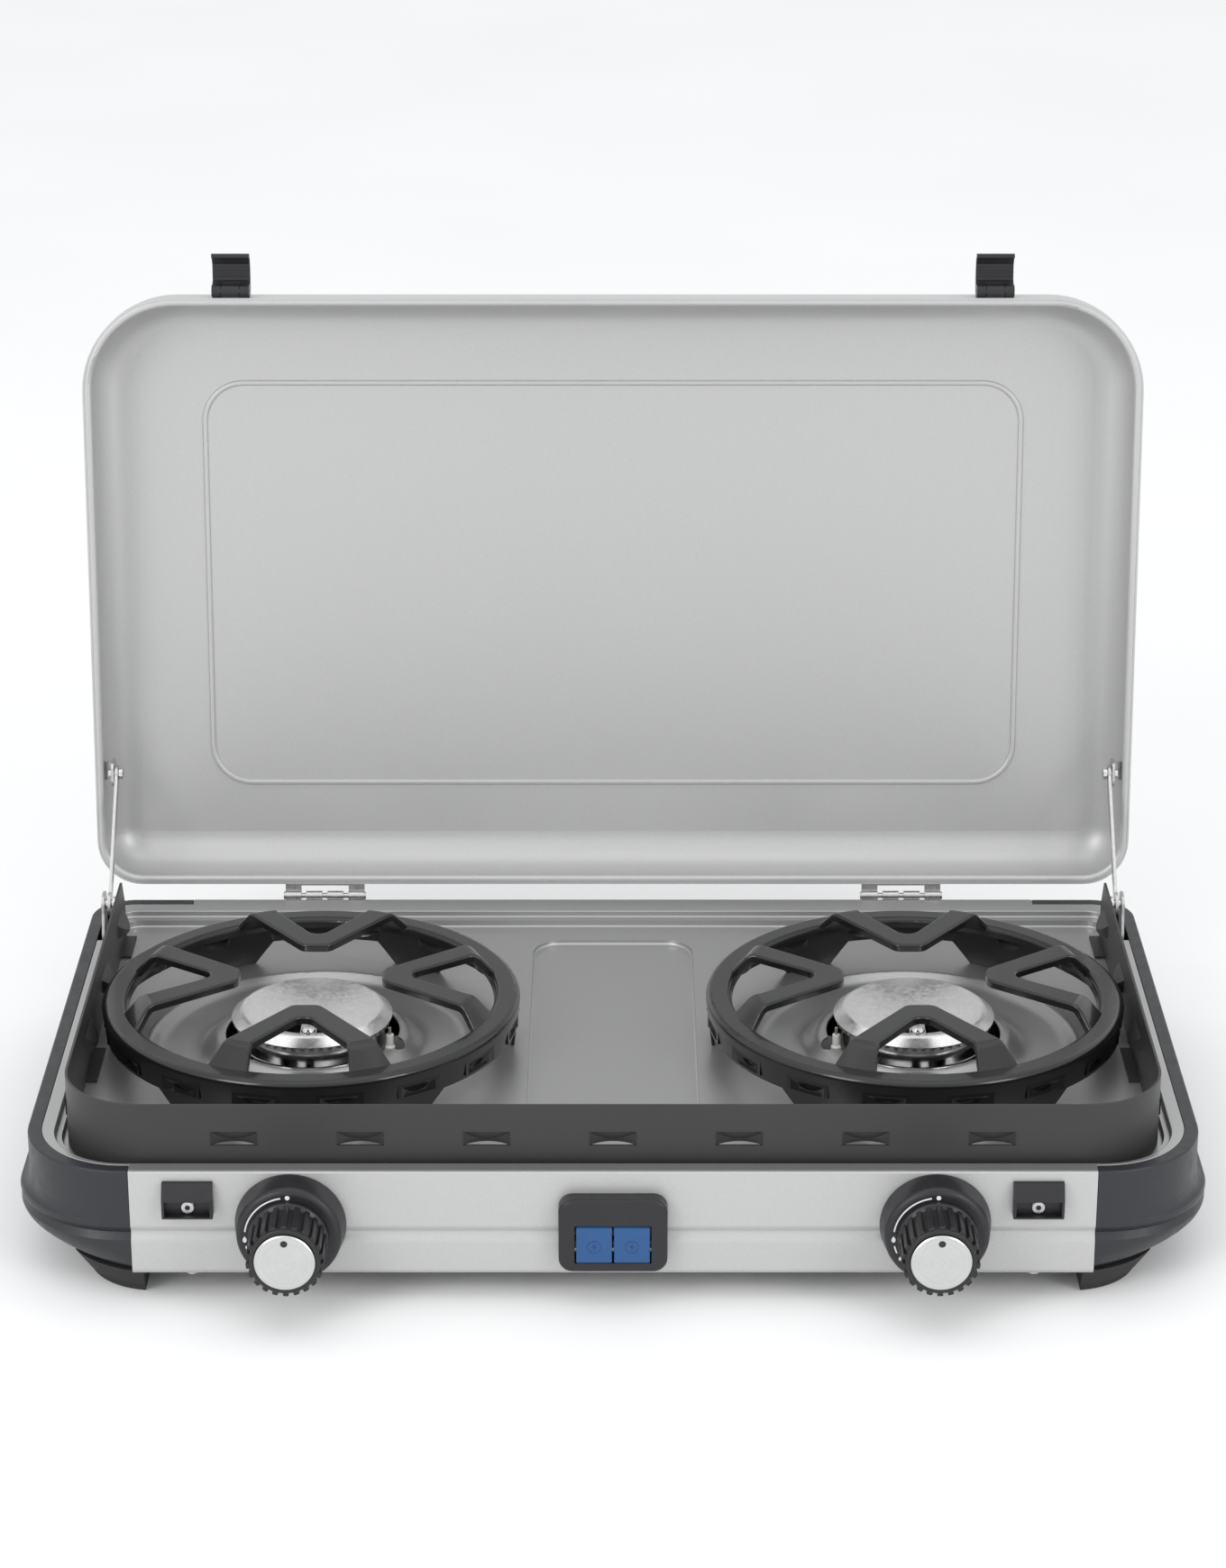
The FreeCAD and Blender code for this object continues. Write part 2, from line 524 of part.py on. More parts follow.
def gas_rail():
    """Supply pipe under both valves, with a branch to the inlet at the back."""
    def pipes(radius, ends):
        level_pipe = rod(V(-BURNER_X - ends, -28, PIPE_Z), radius, 2 * (BURNER_X + ends), AXIS_X)
        branch = rod(V(INLET_X, -28, PIPE_Z), radius, REAR - 20 + 28 + (0 if ends else 1), AXIS_T)
        return level_pipe.fuse(branch)
    rail = pipes(4.0, 8).cut(pipes(2.8, 0))
    feeds = [rod(V(side * BURNER_X, -28, PIPE_Z + 2.9), 5.0, VALVE_LOW - PIPE_Z - 2.9, AXIS_Z)
             for side in (-1, 1)]
    feeds = [f.cut(rod(V(0, -28, PIPE_Z), 4.0, 1, AXIS_X)) for f in feeds]
    return rail.multiFuse(feeds).removeSplitter()


def gas_inlet():
    """Hose barb that stands out of the back; its plain stretch takes the hose."""
    start = REAR - 19.8
    profile = [(2.0, 0), (4.4, 0), (4.4, 22), (7.0, 22), (7.0, 27), (4.5, 27), (4.5, 38), (3.7, 39),
               (4.4, 41.5), (3.6, 42), (4.3, 44.5), (3.4, 46), (2.0, 46)]
    section = face(profile, 0.0, lambda r, u: V(r, u, 0))
    return section.revolve(V(0, 0, 0), AXIS_T, 360).translated(V(INLET_X, start, PIPE_Z))


# ---- knobs and ignition -------------------------------------------------------------------
RIBS = 22
BUTTON_W, BUTTON_GAP, BUTTON_PROUD, BUTTON_TRAVEL = 16.9, 0.9, 0.8, 4.0
PLATE_PROUD = 8.0


def knob_bezel():
    points = [(26.3, 0.4), (24.4, BEZEL_PROUD), (8.0, BEZEL_PROUD), (8.0, 5.0)]
    section = ribbon(points, 1.2, 2.0, lambda r, u: V(r, -u, 0))
    return section.revolve(V(0, 0, 0), AXIS_T, 360).translated(V(0, FRONT, KNOB_Z))


def knob():
    back = BEZEL_PROUD + GAP
    profile = [(SPINDLE_R, back), (19.0, back), (19.0, back + 2.6), (17.2, back + 4.2), (16.6, 37.8),
               (14.4, 37.8), (14.4, 36.4), (0, 36.4), (0, 32), (SPINDLE_R, 32)]
    radii = [0, 0, 0.8, 0.6, 0.8, 0.3, 0, 0, 0, 0]
    body = lathe(profile, radii, V(0, FRONT, KNOB_Z))
    rib = soften(box(-1.35, 1.35, -37.0, -back - 2.0, 15.5, 18.3), 0.5,
                 lambda b: b.ZMin > 18 and b.YLength > 5)
    start = V(0, FRONT, KNOB_Z)
    ribs = [turned(rib.translated(start), start, AXIS_T, 360 * i / RIBS) for i in range(RIBS)]
    return body.multiFuse(ribs).removeSplitter()


def knob_insert():
    profile = [(0, 36.45), (14.2, 36.45), (14.2, 38.5), (13.6, INSERT_FACE), (0, INSERT_FACE)]
    disc = lathe(profile, [0, 0, 0.1, 0.1, 0], V(0, FRONT, KNOB_Z))
    return disc.cut(rod(V(0, FRONT - INSERT_FACE - 1, KNOB_Z + 10.0), 1.7, 1.6, AXIS_T))


def valve_spindle():
    return rod(V(0, FRONT - 31.9, KNOB_Z), SPINDLE_R, 31.9 + 18, AXIS_T)


def rounded_plate(width, height, radius, z, t0, t1):
    corners = [(-width / 2, z - height / 2), (width / 2, z - height / 2),
               (width / 2, z + height / 2), (-width / 2, z + height / 2)]
    return face(corners, radius, lambda x, h: V(x, t0, h)).extrude(V(0, t1 - t0, 0))


def ignition_bezel():
    middle, height = -30.35, 37.9
    plate = rounded_plate(51.4, height, 6.8, middle, FRONT - PLATE_PROUD, FRONT)
    plate = soften(plate, 1.8, lambda b: b.YMax < FRONT - PLATE_PROUD + 0.01)
    half = WINDOW_W / 2
    collar = box(-half - 1.2, half + 1.2, FRONT - 1, FRONT + 4, WINDOW_LOW - 1.2, WINDOW_TOP + 1.2)
    window = box(-half, half, FRONT - 20, FRONT + 20, WINDOW_LOW, WINDOW_TOP)
    return plate.fuse(collar).cut(window)


def ignition_button():
    """Right-hand button: a rounded cap on a stem that slides in its igniter."""
    low, top = WINDOW_LOW + 0.4, WINDOW_TOP - 0.4
    x0, face_t = BUTTON_GAP / 2, FRONT - PLATE_PROUD - BUTTON_PROUD
    profile = [(face_t, low), (face_t, top), (face_t + 9, top), (face_t + 9, low)]
    cap = along_x(x0, x0 + BUTTON_W, face(profile, [1.0, 3.2, 0, 0], in_tz))
    cap = soften(cap, 0.6, lambda b: b.XLength < 0.01 and b.YMin < face_t + 0.5)
    middle = x0 + BUTTON_W / 2
    return cap.fuse(box(middle - 4, middle + 4, face_t + 8, -26, low + 5, top - 5)), middle


def piezo_igniter(middle):
    low, top = WINDOW_LOW + 0.4, WINDOW_TOP - 0.4
    body = box(middle - 7.5, middle + 7.5, FRONT + 9, -6, low + 1, top - 1)
    pocket = box(middle - 4.3, middle + 4.3, FRONT, -26 + BUTTON_TRAVEL + 1, low + 4.7, top - 4.7)
    return body.cut(pocket)


def ignition_lead(middle):
    """Lead from the right-hand igniter along the base to its electrode's tail."""
    x, t = BURNER_X - ELECTRODE_DX, BURNER_T + ELECTRODE_DT
    points = [(middle, -5.9, -34), (middle, 14, -34), (middle + 18, 34, -31), (x - 26, t - 22, -28),
              (x, t - 4, -28), (x, t, -16.2)]
    radii = [0, 14, 22, 20, 5, 0]
    edges = []
    start = V(*points[0])
    for i in range(1, len(points) - 1):
        a, p, b = V(*points[i - 1]), V(*points[i]), V(*points[i + 1])
        u, v = (a - p).normalize(), (b - p).normalize()
        turn = pi - u.getAngle(v)
        reach = min(radii[i] * tan(turn / 2), 0.45 * (a - p).Length, 0.45 * (b - p).Length)
        inset = reach / tan(turn / 2) * (1 / cos(turn / 2) - 1)
        first, middle_point, last = p + u * reach, p + (u + v).normalize() * inset, p + v * reach
        edges += [Part.LineSegment(start, first).toShape(), Part.Arc(first, middle_point, last).toShape()]
        start = last
    edges.append(Part.LineSegment(start, V(*points[-1])).toShape())
    ring = Part.Wire(Part.makeCircle(0.9, V(*points[0]), AXIS_T))
    return Part.Wire(edges).makePipeShell([ring], True, True)


# ---- latch catches ------------------------------------------------------------------------
def latch_catch():
    side = [(FRONT, -5.0), (FRONT - 2.6, -5.4), (FRONT - 6.0, CATCH_EDGE), (FRONT - 6.0, CATCH_LOW),
            (FRONT, CATCH_LOW)]
    half = CATCH_W / 2
    block = along_x(-half, half, face(side, [0, 0.8, 0.6, 0.6, 0], in_tz))
    block = block.cut(box(-half + 1.3, half - 1.3, FRONT - 9, FRONT - 1.5, CATCH_LOW + 1.1, CATCH_EDGE - 1.1))
    block = block.cut(rod(V(0, FRONT - 9, STUD_ROW), 1.65, 20, AXIS_T))
    return soften(block, 0.5, lambda b: b.XLength < 0.01 and b.YMin < FRONT - 3 and b.ZMax > CATCH_EDGE - 0.5)


def catch_stud():
    head = lathe([(0, 1.5), (3.4, 1.5), (3.4, 2.4), (2.9, 2.9), (1.3, 2.9), (1.3, 1.9), (0, 1.9)], 0.0,
                 V(0, FRONT, STUD_ROW))
    return head.fuse(rod(V(0, FRONT - 1.6, STUD_ROW), 1.6, 4, AXIS_T))


# ---- lid, drawn closed and then turned open about the hinge -------------------------------
LID = (LID_X, LID_FRONT, LID_REAR, 50.0, 24.0)
CEILING = HINGE_Z + LID_DEPTH
BEAD_W = 4.6
EMBOSS = (219.0, LID_REAR - 270.0, LID_REAR - 49.0, 21.0, 21.0)
RIVET_DX, RIVET_P = 16.0, 10.0
KNUCKLE_R, PIN_R, LEAF = 2.6, 1.5, 1.2
KNUCKLE_GAP = 2.8
STAY_T = LID_REAR - STAY_S
STAY_Z = HINGE_Z + STAY_P


def opened(shape):
    return turned(shape, HINGE, AXIS_X, -LID_OPEN)


def lid_shell():
    outer = slab(LID, HINGE_Z, CEILING + LID_SHEET)
    outer = soften(outer, LID_FILLET + LID_SHEET, level(CEILING + LID_SHEET))
    inner = slab(grown(LID, -LID_SHEET), HINGE_Z - 1, CEILING)
    inner = soften(inner, LID_FILLET, level(CEILING))
    bead = slab(LID, HINGE_Z, HINGE_Z + BEAD_W).cut(slab(grown(LID, -BEAD_W), HINGE_Z - 1, 20))
    bead = soften(bead, 2.0, lambda b: level(HINGE_Z)(b) or (
        level(HINGE_Z + BEAD_W)(b) and b.XMax < LID_X - 2))
    rib = slab(grown(EMBOSS, 1.4), CEILING - 1.2, CEILING + 0.3)
    rib = rib.cut(slab(grown(EMBOSS, -1.4), CEILING - 9, CEILING + 9))
    rib = soften(rib, 1.1, level(CEILING - 1.2))
    groove = slab(grown(EMBOSS, 0.9), CEILING + 0.4, 60).cut(slab(grown(EMBOSS, -0.9), 0, 70))
    shell = outer.cut(inner).fuse([bead, rib]).cut(groove)
    holes = [rod(V(side * HINGE_X + dx, LID_REAR - 9, HINGE_Z + RIVET_P), 1.65, 20, AXIS_T)
             for side in (-1, 1) for dx in (-RIVET_DX, RIVET_DX)]
    return opened(shell.cut(Part.makeCompound(holes)).removeSplitter())


def knuckles(places, bore):
    """Hinge barrels at the given places across one hinge, and the strips' x ranges."""
    width = (HINGE_W - 3 * KNUCKLE_GAP) / 4
    spans = [(-HINGE_W / 2 + i * (width + KNUCKLE_GAP), -HINGE_W / 2 + i * (width + KNUCKLE_GAP) + width)
             for i in places]
    barrels = [rod(V(a, HINGE_T, HINGE_Z), KNUCKLE_R, b - a, AXIS_X) for a, b in spans]
    return spans, barrels, rod(V(-50, HINGE_T, HINGE_Z), bore, 100, AXIS_X)


def lid_hinge_leaf():
    spans, barrels, bore = knuckles((0, 3), PIN_R + 0.01)
    high = HINGE_Z + KNUCKLE_R
    leaf = box(-HINGE_W / 2, HINGE_W / 2, LID_REAR, LID_REAR + LEAF, high - LEAF, 17)
    leaf = soften(leaf, 4.0, lambda b: b.YLength > 1 and b.XLength < 0.01 and b.ZMin > 16)
    strips = [box(a, b, LID_REAR, HINGE_T, high - LEAF, high) for a, b in spans]
    holes = [rod(V(dx, LID_REAR - 5, HINGE_Z + RIVET_P), 1.65, 20, AXIS_T) for dx in (-RIVET_DX, RIVET_DX)]
    return opened(fuse([leaf] + strips + barrels).cut(bore).cut(Part.makeCompound(holes)))


def base_hinge_leaf():
    spans, barrels, bore = knuckles((1, 2), PIN_R + RUN)
    low = HINGE_Z - KNUCKLE_R
    leaf = box(-HINGE_W / 2, HINGE_W / 2, REAR, REAR + LEAF, -19, low + LEAF)
    leaf = soften(leaf, 4.0, lambda b: b.YLength > 1 and b.XLength < 0.01 and b.ZMax < -18)
    strips = [box(a, b, REAR, HINGE_T, low, low + LEAF) for a, b in spans]
    holes = [rod(V(dx, REAR - 5, -11), 1.65, 20, AXIS_T) for dx in (-RIVET_DX, RIVET_DX)]
    return fuse([leaf] + strips + barrels).cut(bore).cut(Part.makeCompound(holes))


def hinge_pin():
    half = HINGE_W / 2
    shaft = rod(V(-half, HINGE_T, HINGE_Z), PIN_R, HINGE_W, AXIS_X)
    heads = [rod(V(side * (half + 0.4) - 0.4, HINGE_T, HINGE_Z), 2.1, 0.8, AXIS_X) for side in (-1, 1)]
    return opened(fuse([shaft] + heads))


def rivet(centre, inward, grip, radius=3.2):
    """Dome rivet on the t axis; inward is -1 or 1, the side its dome is on."""
    dome = spun(face([(0, 0), (radius, 0), (radius * 0.75, 1.5), (0, 2.0)], [0, 0, 1.0, 0], in_rz))
    dome = turned(dome, V(0, 0, 0), AXIS_X, 90 if inward < 0 else -90)
    shank = rod(V(0, -grip if inward > 0 else 0, 0), 1.55, grip, AXIS_T)
    tail_t = -grip - 0.8 if inward > 0 else grip
    return fuse([dome, shank, rod(V(0, tail_t, 0), 2.6, 0.8, AXIS_T)]).translated(centre)


def lid_rivets():
    seat = V(0, LID_REAR - LID_SHEET, HINGE_Z + RIVET_P)
    return [opened(rivet(seat + V(side * HINGE_X + dx, 0, 0), -1, LID_SHEET + LEAF))
            for side in (-1, 1) for dx in (-RIVET_DX, RIVET_DX)]


# ---- latches ------------------------------------------------------------------------------
EYE_R, LATCH_PIN_R, LUG_W = 3.2, 1.3, 9.6


def latched(t, z):
    """Point given from the latch's pivot, with the lid closed and the latch down."""
    return V(0, LATCH_T + t, LATCH_Z + z)


def lid_latch():
    outside = [(-EYE_R, EYE_R), (-6.4, 3.4), (-8.0, 0.0), (-8.0, -11.0), (-6.4, -16.2), (-3.6, -19.3),
               (-0.2, -19.3), (-0.2, -HOOK_R), (-3.0, -HOOK_R + 0.3), (-5.4, -13.4), (-5.8, -11.0),
               (-5.8, -5.4), (-EYE_R + 0.2, -EYE_R), (EYE_R, -EYE_R), (EYE_R, EYE_R)]
    radii = [0.5, 1.5, 2.0, 3.0, 2.5, 1.5, 0.8, 0.4, 1.2, 1.2, 1.5, 1.5, 1.0, EYE_R - 0.1, EYE_R - 0.1]
    half = LATCH_W / 2
    body = along_x(-half, half, face(outside, radii, latched))
    slot = box(-LUG_W / 2 - GAP, LUG_W / 2 + GAP, LATCH_T - 4.4, LATCH_T + 9, LATCH_Z - 4.4, LATCH_Z + 6)
    outer_ribs = [[(-8.5, -1.6 - 2.3 * i), (-8.5, -0.4 - 2.3 * i), (-7.6, -0.2 - 2.3 * i),
                   (-7.6, -1.8 - 2.3 * i)] for i in range(5)]
    inner_ribs = [[(-5.4, -6.6 - 2.2 * i), (-5.4, -7.6 - 2.2 * i), (-6.2, -7.8 - 2.2 * i),
                   (-6.2, -6.4 - 2.2 * i)] for i in range(3)]
    ribs = [along_x(-half, half, face(corners, 0.2, latched)) for corners in outer_ribs + inner_ribs]
    bore = rod(V(-half - 1, LATCH_T, LATCH_Z), LATCH_PIN_R + RUN, LATCH_W + 2, AXIS_X)
    whole = fuse([body] + ribs).cut(slot).cut(bore)
    return opened(turned(whole, latched(0, 0), AXIS_X, -90))


def latch_mount():
    lug = rod(V(-LUG_W / 2, LATCH_T, LATCH_Z), 3.4, LUG_W, AXIS_X)
    web = box(-LUG_W / 2, LUG_W / 2, LATCH_T, LID_FRONT, HINGE_Z + 0.1, LATCH_Z + 3.4)
    foot = soften(box(-LUG_W / 2, LUG_W / 2, LID_FRONT - 1.4, LID_FRONT, HINGE_Z + 0.1, LATCH_Z + 3.9), 0.4,
                  lambda b: b.YMax < LID_FRONT - 1)
    bore = rod(V(-20, LATCH_T, LATCH_Z), LATCH_PIN_R + 0.01, 40, AXIS_X)
    return opened(fuse([lug, web, foot]).cut(bore))


def latch_pin():
    half = LATCH_W / 2 - 0.2
    return opened(rod(V(-half, LATCH_T, LATCH_Z), LATCH_PIN_R, 2 * half, AXIS_X))


# ---- lid stays ----------------------------------------------------------------------------
ARM_HALF, ARM_HEAD = 3.6, 6.4
MOUTH = degrees(atan2(-0.325, 0.946))       # direction the stud leaves the arm's notch
OPEN_PIVOT = V(0, HINGE_T, HINGE_Z) + FreeCAD.Rotation(AXIS_X, -LID_OPEN).multVec(
    V(0, STAY_T - HINGE_T, STAY_P))


def across(x0, x1, t, z, radius):
    return rod(V(x0, t, z), radius, x1 - x0, AXIS_X)


def stay_arm():
    """Flat arm with an open notch that drops over the stud on the base."""
    x0, x1 = STAY_X, STAY_X + STAY_THICK
    stud = V(0, STUD_T, STUD_Z)
    run = OPEN_PIVOT - stud
    length = run.Length
    angle = degrees(atan2(run.z, run.y))
    bar = box(x0, x1, 0, length, -ARM_HALF, ARM_HALF)
    bar = turned(bar, V(0, 0, 0), AXIS_X, angle).translated(stud)
    heads = [across(x0, x1, STUD_T, STUD_Z, ARM_HEAD), across(x0, x1, OPEN_PIVOT.y, OPEN_PIVOT.z, 4.6)]
    slot = box(x0 - 1, x1 + 1, 0, 20, -STUD_R - 0.25, STUD_R + 0.25)
    slot = turned(slot, V(0, 0, 0), AXIS_X, MOUTH).translated(stud)
    seat = across(x0 - 1, x1 + 1, STUD_T, STUD_Z, STUD_R + 0.25)
    bore = across(x0 - 1, x1 + 1, OPEN_PIVOT.y, OPEN_PIVOT.z, 1.8 + RUN)
    return fuse([bar] + heads).cut(Part.makeCompound([slot, seat])).cut(bore)


def stay_bracket():
    """Plate on the lid's side wall that carries the arm's pivot pin."""
    plate = box(270.2, 271.6, STAY_T - 7, STAY_T + 7, HINGE_Z + 0.8, 15)
    plate = soften(plate, 4.0, lambda b: b.XLength > 1 and b.YLength < 0.01 and b.ZLength < 0.01)
    web = box(270.2, LID_X - LID_SHEET - 0.05, STAY_T - 5, STAY_T + 5, 11.4, 12.8)
    pad = box(LID_X - LID_SHEET - 1.6, LID_X - LID_SHEET - 0.05, STAY_T - 6, STAY_T + 6, 6, 13)
    return opened(fuse([plate, web, pad]).cut(across(260, 280, STAY_T, STAY_Z, 1.82)))


def stay_pivot_pin():
    head = across(265.6, 267.6, STAY_T, STAY_Z, 3.4)
    dimple = across(265.0, 266.2, STAY_T, STAY_Z, 1.2)
    tail = across(272.0, 273.4, STAY_T, STAY_Z, 2.6)
    shank = across(267.5, 272.5, STAY_T, STAY_Z, 1.8)
    return opened(fuse([head, shank, tail]).cut(dimple))


def stay_post():
    plan = face([(222, -22), (236, -22), (245, STUD_Z - 3), (245, STUD_Z + 6), (232, STUD_Z + 6),
                 (231, STUD_Z - 3)], [1, 1, 4, 5, 5, 6], in_tz)
    plate = along_x(271.2, 272.6, plan)
    foot = box(266.2, 272.6, 224, 236, -22, -20.6)
    return fuse([plate, foot]).cut(across(260, 280, STUD_T, STUD_Z, STUD_R - 0.5))


def stay_stud():
    head = across(264.8, 266.8, STUD_T, STUD_Z, 4.0)
    dimple = across(264.0, 265.4, STUD_T, STUD_Z, 1.4)
    shank = across(266.6, 271.2, STUD_T, STUD_Z, STUD_R)
    tail = across(271.0, 273.4, STUD_T, STUD_Z, STUD_R - 0.55)
    return fuse([head, shank, tail]).cut(dimple)


def base_fasteners():
    """Rivets of the base hinge leaves, and screws that hold the caps to the brace."""
    pieces = [rivet(V(side * HINGE_X + dx, REAR + LEAF, -11), 1, SHEET + LEAF)
              for side in (-1, 1) for dx in (-RIVET_DX, RIVET_DX)]
    screw = fuse([rod(V(0, 0, -1.6), 3.0, 1.6, AXIS_Z), rod(V(0, 0, 0), 1.4, 3.5, AXIS_Z)])
    screw = screw.cut(box(-2.2, 2.2, -0.4, 0.4, -2, -0.9)).cut(box(-0.4, 0.4, -2.2, 2.2, -2, -0.9))
    pieces += [screw.translated(V(side * 200, FRONT + 7, -BASE_DEPTH)) for side in (-1, 1)]
    pieces += [screw.translated(V(side * 200, REAR - 30, -50)) for side in (-1, 1)]
    return pieces


# ---- write every node ---------------------------------------------------------------------
def save_hob_and_base():
    save("hob_tray", hob_tray())
    screw_holes = Part.makeCompound([rod(V(s * 200, t, -60), 1.45, 14, AXIS_Z)
                                     for s in (-1, 1) for t in (FRONT + 7, REAR - 30)])
    rivet_holes = Part.makeCompound([rod(V(s * HINGE_X + dx, REAR - 5, -11), 1.65, 20, AXIS_T)
                                     for s in (-1, 1) for dx in (-RIVET_DX, RIVET_DX)])
    stud_holes = Part.makeCompound([rod(V(s * CATCH_X, FRONT - 5, STUD_ROW), 1.65, 20, AXIS_T)
                                    for s in (-1, 1)])
    save("front_panel", front_panel().cut(screw_holes).cut(stud_holes))
    save("rear_panel", rear_panel().cut(screw_holes).cut(rivet_holes))
    cap = end_cap()
    save("left_end_cap", mirrored(cap))
    save("right_end_cap", cap)
    save("rubber_feet", rubber_feet())
    save("underside_brace", underside_brace().cut(screw_holes))
    save("windshield", windshield())


def save_burners():
    support, cup, ring, cap = pan_support(), burner_cup(), flame_ring(), burner_cap()
    tube, body = mixing_tube(), valve_body()
    for name, side in ENDS:
        x = side * BURNER_X
        save(name + "_pan_support", moved(support, x, BURNER_T))
        save(name + "_burner_cup", moved(cup, x, BURNER_T))
        save(name + "_flame_ring", moved(ring, x, BURNER_T))
        save(name + "_burner_cap", moved(cap, x, BURNER_T))
        save(name + "_mixing_tube", moved(tube, x))
        save(name + "_valve_body", moved(body, x))
    groups = (("burner_straps", burner_strap(), BURNER_T), ("burner_screws", burner_screw(), BURNER_T),
              ("gas_jets", gas_jet(), 0))
    for name, shape, t in groups:
        save(name, Part.makeCompound([moved(shape, side * BURNER_X, t) for side in (-1, 1)]))
    sparks = [electrode(side) for side in (-1, 1)]
    save("electrode_ceramics", Part.makeCompound([s[0] for s in sparks]))
    save("electrode_pins", Part.makeCompound([s[1] for s in sparks]))
    save("gas_rail", gas_rail())
    save("gas_inlet", gas_inlet())


def save_controls():
    bezel, grip, insert, spindle = knob_bezel(), knob(), knob_insert(), valve_spindle()
    button, middle = ignition_button()
    for name, side in ENDS:
        x = side * BURNER_X
        save(name + "_knob_bezel", moved(bezel, x))
        save(name + "_knob", moved(grip, x))
        save(name + "_knob_insert", moved(insert, x))
        save(name + "_valve_spindle", moved(spindle, x))
        save(name + "_ignition_button", button if side > 0 else mirrored(button))
    save("ignition_bezel", ignition_bezel())
    save("piezo_igniters", both_sides(piezo_igniter(middle)))
    save("ignition_leads", both_sides(ignition_lead(middle)))
    save("latch_catches", both_sides(moved(latch_catch(), CATCH_X)))
    save("catch_studs", both_sides(moved(catch_stud(), CATCH_X)))


def save_lid():
    save("lid_shell", lid_shell())
    save("lid_hinge_leaves", both_sides(moved(lid_hinge_leaf(), HINGE_X)))
    save("base_hinge_leaves", both_sides(moved(base_hinge_leaf(), HINGE_X)))
    save("hinge_pins", both_sides(moved(hinge_pin(), HINGE_X)))
    save("lid_rivets", Part.makeCompound(lid_rivets()))
    save("base_fasteners", Part.makeCompound(base_fasteners()))
    save("latch_mounts", both_sides(moved(latch_mount(), LATCH_X)))
    save("latch_pins", both_sides(moved(latch_pin(), LATCH_X)))
    save("stay_brackets", both_sides(stay_bracket()))
    save("stay_pivot_pins", both_sides(stay_pivot_pin()))
    save("stay_posts", both_sides(stay_post()))
    save("stay_studs", both_sides(stay_stud()))
    latch, arm = moved(lid_latch(), LATCH_X), stay_arm()
    for name, side in ENDS:
        save(name + "_lid_latch", latch if side > 0 else mirrored(latch))
        save(name + "_stay_arm", arm if side > 0 else mirrored(arm))


def main():
    os.makedirs("parts", exist_ok=True)
    save_hob_and_base()
    save_burners()
    save_controls()
    save_lid()
    front, back = min(b.YMin for b in EXTENT), max(b.YMax for b in EXTENT)
    print("origin y in the hob frame %.4f, box y %.3f..%.3f" % (MID_T, front, back))


main()
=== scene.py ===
import json
import math

import bmesh
import bpy
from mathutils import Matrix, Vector


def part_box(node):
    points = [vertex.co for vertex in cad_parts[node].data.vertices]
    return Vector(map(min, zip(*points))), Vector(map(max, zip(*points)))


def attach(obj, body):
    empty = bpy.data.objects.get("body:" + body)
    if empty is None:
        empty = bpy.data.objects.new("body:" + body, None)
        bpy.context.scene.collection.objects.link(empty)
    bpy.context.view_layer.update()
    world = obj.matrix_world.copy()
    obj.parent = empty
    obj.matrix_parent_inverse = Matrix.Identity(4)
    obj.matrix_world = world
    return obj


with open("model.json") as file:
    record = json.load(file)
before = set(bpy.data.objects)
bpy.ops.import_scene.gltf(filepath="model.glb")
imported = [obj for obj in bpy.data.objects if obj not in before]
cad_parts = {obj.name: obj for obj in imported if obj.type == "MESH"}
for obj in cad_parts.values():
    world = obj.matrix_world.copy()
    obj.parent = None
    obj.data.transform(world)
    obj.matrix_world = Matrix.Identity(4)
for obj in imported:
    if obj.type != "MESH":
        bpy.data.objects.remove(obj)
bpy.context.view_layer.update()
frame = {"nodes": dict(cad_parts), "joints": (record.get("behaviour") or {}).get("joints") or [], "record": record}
NODES = frame["nodes"]
MM = 0.001


# ---- places read from the frame -----------------------------------------------------------
def middle(node):
    low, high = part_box(node)
    return (low + high) / 2


def joint(name):
    return next(j for j in frame["joints"] if j["name"] == name)


